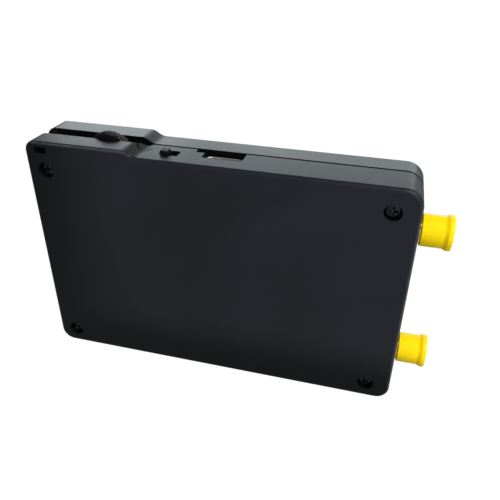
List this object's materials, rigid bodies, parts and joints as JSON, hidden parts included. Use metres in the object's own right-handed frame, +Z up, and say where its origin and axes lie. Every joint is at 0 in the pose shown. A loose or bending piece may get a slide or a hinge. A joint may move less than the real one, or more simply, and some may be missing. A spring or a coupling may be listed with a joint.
{
  "type": "antenna analyzer",
  "caption": "Handheld radio network analyzer in a two-shell black case, with a jog wheel, a slide switch, a USB-C socket, a screen and coaxial ports under dust caps.",
  "frame": {"origin": "middle of the long lower edge face that the case stands on", "axes": "+X along the length towards the coaxial ports, +Y from the back cover to the screen, +Z up"},
  "size_m": [0.0976, 0.0164, 0.0597],
  "materials": {
    "case_plastic": "satin black, finely textured",
    "screw_steel": "black zinc",
    "board": "black solder mask",
    "battery_foil": "satin foil",
    "foam": "matte foam",
    "lead_red": "satin",
    "lead_black": "satin",
    "white_plastic": "satin",
    "dark_plastic": "matte",
    "wheel_plastic": "satin black",
    "sheet_steel": "tinned",
    "gold_brass": "gold plated",
    "cap_plastic": "soft gloss yellow",
    "panel_glass": "dark, switched off",
    "touch_glass": "clear, glossy",
    "ribbon_film": "amber film",
    "chip_resin": "matte",
    "ceramic_parts": "matte"
  },
  "bodies": {
    "case": {"back_cover": "case_plastic", "front_cover": "case_plastic", "case_screws": "screw_steel", "main_board": "board", "battery": "battery_foil", "battery_tape": "foam", "battery_lead_red": "lead_red", "battery_lead_black": "lead_black", "battery_plug": "white_plastic", "battery_socket": "white_plastic", "jog_base": "dark_plastic", "jog_cover_plate": "sheet_steel", "switch_base": "dark_plastic", "switch_can": "sheet_steel", "usb_shell": "sheet_steel", "usb_tongue": "dark_plastic", "port_body_lower": "gold_brass", "port_insulator_lower": "white_plastic", "port_contact_lower": "gold_brass", "port_body_upper": "gold_brass", "port_insulator_upper": "white_plastic", "port_contact_upper": "gold_brass", "display_frame": "sheet_steel", "display_glass": "panel_glass", "display_gasket": "foam", "touch_panel": "touch_glass", "display_ribbon": "ribbon_film", "ribbon_socket": "white_plastic", "processor_chip": "chip_resin", "codec_chip": "chip_resin", "clock_chip": "chip_resin", "mixer_chips": "chip_resin", "power_chip": "chip_resin", "crystal": "sheet_steel", "shield_cans": "sheet_steel", "status_lamps": "white_plastic", "small_parts": "ceramic_parts"},
    "jog_carrier": {"jog_carrier": "dark_plastic"},
    "jog_wheel": {"jog_wheel": "wheel_plastic"},
    "power_knob": {"switch_knob": "wheel_plastic"},
    "lower_cap": {"dust_cap_lower": "cap_plastic"},
    "upper_cap": {"dust_cap_upper": "cap_plastic"}
  },
  "joints": [
    {"name": "jog_push", "type": "slide", "parent": "case", "child": "jog_carrier", "axis": [0, 0, -1], "range_m": [0, 0.0008], "stiffness_N_per_m": 400, "springref_m": -0.001},
    {"name": "jog_rock", "type": "hinge", "parent": "jog_carrier", "child": "jog_wheel", "pos_m": [-0.027, -0.0006, 0.0539], "axis": [0, 1, 0], "range_deg": [-15, 15], "stiffness_Nm_per_rad": 0.002},
    {"name": "power_slide", "type": "slide", "parent": "case", "child": "power_knob", "axis": [1, 0, 0], "range_m": [0, 0.002]},
    {"name": "lower_cap_pull", "type": "slide", "parent": "case", "child": "lower_cap", "axis": [1, 0, 0], "range_m": [0, 0.012]},
    {"name": "upper_cap_pull", "type": "slide", "parent": "case", "child": "upper_cap", "axis": [1, 0, 0], "range_m": [0, 0.012]}
  ]
}
